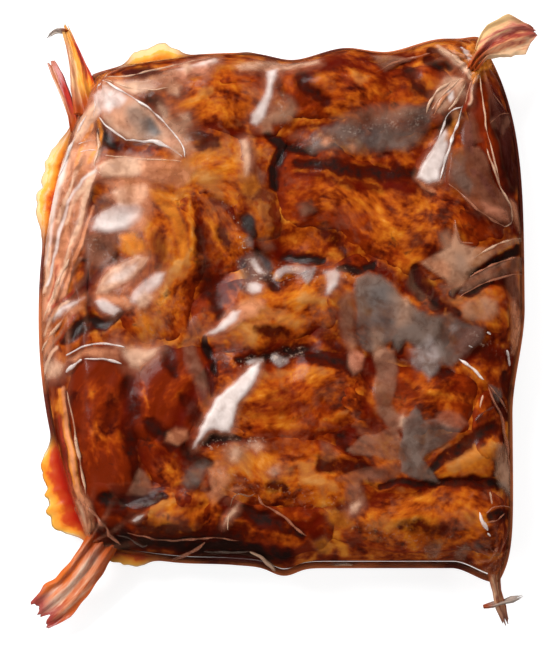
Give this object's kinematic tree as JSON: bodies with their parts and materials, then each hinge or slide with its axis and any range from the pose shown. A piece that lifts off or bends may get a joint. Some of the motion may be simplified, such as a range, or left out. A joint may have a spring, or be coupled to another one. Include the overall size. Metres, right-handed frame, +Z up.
{
  "type": "vacuum-sealed pack of barbecue pork ribs",
  "caption": "Flat clear shrink bag of barbecue pork ribs in dark sauce, lumpy on top and flat below, with a thin seam rim and twisted film tails at its corners.",
  "frame": {"origin": "under the middle of the whole pack with its tails, at the resting face", "axes": "+Z up from the resting face to the shown side, +Y along the pack towards the edge at the top of the picture, +X to its right"},
  "size_m": [0.2122, 0.2578, 0.0449],
  "materials": {
    "film_over_ribs": "clear glossy film pressed on browned, sauced meat"
  },
  "bodies": {
    "root": {"sealed_rib_pack": "film_over_ribs"}
  },
  "joints": []
}
